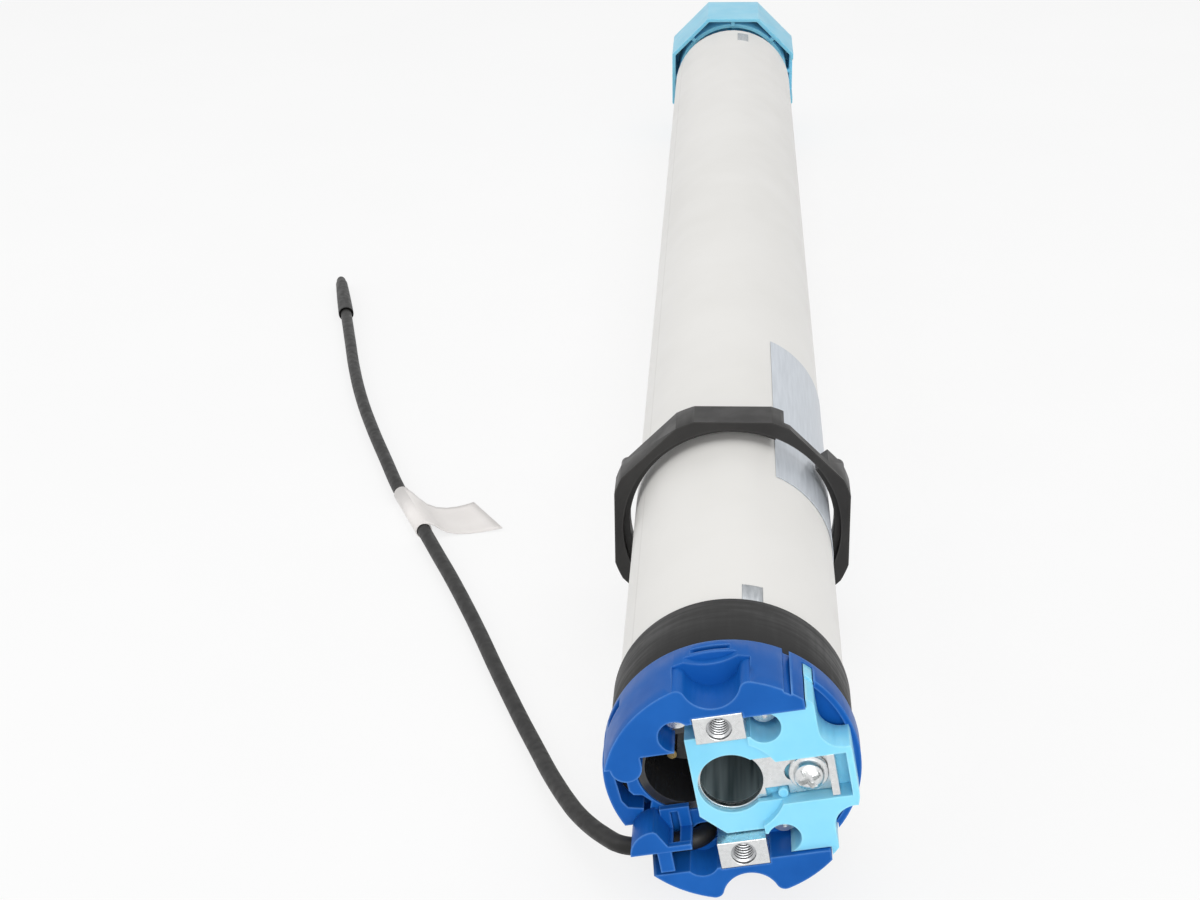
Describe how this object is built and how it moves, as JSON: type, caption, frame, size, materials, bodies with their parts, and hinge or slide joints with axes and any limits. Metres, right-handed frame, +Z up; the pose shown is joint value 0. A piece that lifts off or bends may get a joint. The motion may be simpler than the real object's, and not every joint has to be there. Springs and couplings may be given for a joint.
{
  "type": "tubular roller blind motor",
  "caption": "Long round tube motor for roller blinds, with a bolt-on bracket head, a turning octagon drive wheel, a sliding octagon crown and a thin aerial cord.",
  "frame": {"origin": "on the motor's axis, in the head's front plane, midway between the two bracket bolts", "axes": "+Y along the motor's axis towards the drive wheel, +Z up, square to the crown's bottom flat, +X to the right seen from the head"},
  "size_m": [0.1724, 0.5852, 0.058],
  "materials": {
    "ivory_paint": "smooth ivory paint",
    "key_steel": "dull grey steel",
    "label_film": "silver grey film",
    "dark_blue_plastic": "moulded satin plastic",
    "light_blue_plastic": "moulded satin plastic",
    "black_plastic": "moulded plastic",
    "contact_brass": "bright",
    "zinc_steel": "bright zinc plate",
    "black_rubber": "satin",
    "tag_film": "glossy white film",
    "ring_plastic": "scuffed",
    "crown_plastic": "moulded satin plastic",
    "board_green": "solder mask",
    "component_plastic": "moulded",
    "can_aluminium": "plain",
    "core_iron": "laminated",
    "copper": "enamelled wire",
    "gear_steel": "machined",
    "brake_lining": "pressed fibre",
    "planet_plastic": "natural nylon"
  },
  "bodies": {
    "motor": {"motor_tube": "ivory_paint", "head_key": "key_steel", "gear_key": "key_steel", "rating_label": "label_film", "head_housing": "dark_blue_plastic", "cable_clamp": "dark_blue_plastic", "bracket_insert": "light_blue_plastic", "head_core": "black_plastic", "socket_pins": "contact_brass", "insert_nuts": "zinc_steel", "head_screws": "zinc_steel", "latch_screw": "zinc_steel", "antenna_gland": "black_rubber", "antenna_cord": "black_rubber", "antenna_cap": "black_rubber", "antenna_tag": "tag_film", "board_tray": "black_plastic", "control_board": "board_green", "board_parts": "component_plastic", "capacitor": "can_aluminium", "capacitor_holders": "black_plastic", "motor_leads": "component_plastic", "front_shield": "can_aluminium", "stator": "core_iron", "stator_winding": "copper", "rotor_bearings": "gear_steel", "rear_shield": "can_aluminium", "brake_pad": "brake_lining", "gear_case": "gear_steel", "output_bearing": "contact_brass", "end_cover": "black_plastic"},
    "latch": {"latch_plate": "zinc_steel"},
    "running_ring": {"running_ring": "ring_plastic"},
    "crown": {"crown": "crown_plastic"},
    "drive": {"drive_wheel": "light_blue_plastic", "wheel_screw": "zinc_steel", "output_shaft": "gear_steel", "carrier_3": "gear_steel"},
    "carrier_2": {"carrier_2": "gear_steel"},
    "carrier_1": {"carrier_1": "gear_steel"},
    "rotor": {"rotor": "can_aluminium", "rotor_shaft": "gear_steel", "sun_pinion": "gear_steel", "brake_disc": "gear_steel"},
    "planet_1a": {"planet_1a": "planet_plastic"},
    "planet_1b": {"planet_1b": "planet_plastic"},
    "planet_1c": {"planet_1c": "planet_plastic"},
    "planet_2a": {"planet_2a": "planet_plastic"},
    "planet_2b": {"planet_2b": "planet_plastic"},
    "planet_2c": {"planet_2c": "planet_plastic"},
    "planet_3a": {"planet_3a": "planet_plastic"},
    "planet_3b": {"planet_3b": "planet_plastic"},
    "planet_3c": {"planet_3c": "planet_plastic"}
  },
  "joints": [
    {"name": "drive_spin", "type": "hinge", "parent": "motor", "child": "drive", "pos_m": [0, 0.56, 0], "axis": [0, 1, 0], "continuous": true},
    {"name": "carrier_2_spin", "type": "hinge", "parent": "motor", "child": "carrier_2", "pos_m": [0, 0.471, 0], "axis": [0, 1, 0], "continuous": true},
    {"name": "carrier_1_spin", "type": "hinge", "parent": "motor", "child": "carrier_1", "pos_m": [0, 0.4475, 0], "axis": [0, 1, 0], "continuous": true},
    {"name": "rotor_spin", "type": "hinge", "parent": "motor", "child": "rotor", "pos_m": [0, 0.352, 0], "axis": [0, 1, 0], "continuous": true},
    {"name": "running_ring_spin", "type": "hinge", "parent": "motor", "child": "running_ring", "pos_m": [0, 0.023, 0], "axis": [0, 1, 0], "continuous": true},
    {"name": "crown_slide", "type": "slide", "parent": "motor", "child": "crown", "axis": [0, 1, 0], "range_m": [-0.1, 0.408]},
    {"name": "latch_slide", "type": "slide", "parent": "motor", "child": "latch", "axis": [0.9848, 0, 0.1736], "range_m": [0, 0.0022]},
    {"name": "planet_1a_spin", "type": "hinge", "parent": "carrier_1", "child": "planet_1a", "pos_m": [0.01118, 0.4378, 0], "axis": [0, 1, 0], "continuous": true},
    {"name": "planet_1b_spin", "type": "hinge", "parent": "carrier_1", "child": "planet_1b", "pos_m": [-0.00559, 0.4378, 0.00968], "axis": [0, 1, 0], "continuous": true},
    {"name": "planet_1c_spin", "type": "hinge", "parent": "carrier_1", "child": "planet_1c", "pos_m": [-0.00559, 0.4378, -0.00968], "axis": [0, 1, 0], "continuous": true},
    {"name": "planet_2a_spin", "type": "hinge", "parent": "carrier_2", "child": "planet_2a", "pos_m": [0.01118, 0.4593, 0], "axis": [0, 1, 0], "continuous": true},
    {"name": "planet_2b_spin", "type": "hinge", "parent": "carrier_2", "child": "planet_2b", "pos_m": [-0.00559, 0.4593, 0.00968], "axis": [0, 1, 0], "continuous": true},
    {"name": "planet_2c_spin", "type": "hinge", "parent": "carrier_2", "child": "planet_2c", "pos_m": [-0.00559, 0.4593, -0.00968], "axis": [0, 1, 0], "continuous": true},
    {"name": "planet_3a_spin", "type": "hinge", "parent": "drive", "child": "planet_3a", "pos_m": [0.01118, 0.4868, 0], "axis": [0, 1, 0], "continuous": true},
    {"name": "planet_3b_spin", "type": "hinge", "parent": "drive", "child": "planet_3b", "pos_m": [-0.00559, 0.4868, 0.00968], "axis": [0, 1, 0], "continuous": true},
    {"name": "planet_3c_spin", "type": "hinge", "parent": "drive", "child": "planet_3c", "pos_m": [-0.00559, 0.4868, -0.00968], "axis": [0, 1, 0], "continuous": true}
  ],
  "couplings": [
    {"joint": "carrier_2_spin", "follows": "drive_spin", "ratio": 5.5},
    {"joint": "carrier_1_spin", "follows": "drive_spin", "ratio": 30.25},
    {"joint": "rotor_spin", "follows": "drive_spin", "ratio": 166.38},
    {"joint": "planet_1a_spin", "follows": "drive_spin", "ratio": -77.786},
    {"joint": "planet_1b_spin", "follows": "drive_spin", "ratio": -77.786},
    {"joint": "planet_1c_spin", "follows": "drive_spin", "ratio": -77.786},
    {"joint": "planet_2a_spin", "follows": "drive_spin", "ratio": -14.143},
    {"joint": "planet_2b_spin", "follows": "drive_spin", "ratio": -14.143},
    {"joint": "planet_2c_spin", "follows": "drive_spin", "ratio": -14.143},
    {"joint": "planet_3a_spin", "follows": "drive_spin", "ratio": -2.5714},
    {"joint": "planet_3b_spin", "follows": "drive_spin", "ratio": -2.5714},
    {"joint": "planet_3c_spin", "follows": "drive_spin", "ratio": -2.5714}
  ]
}
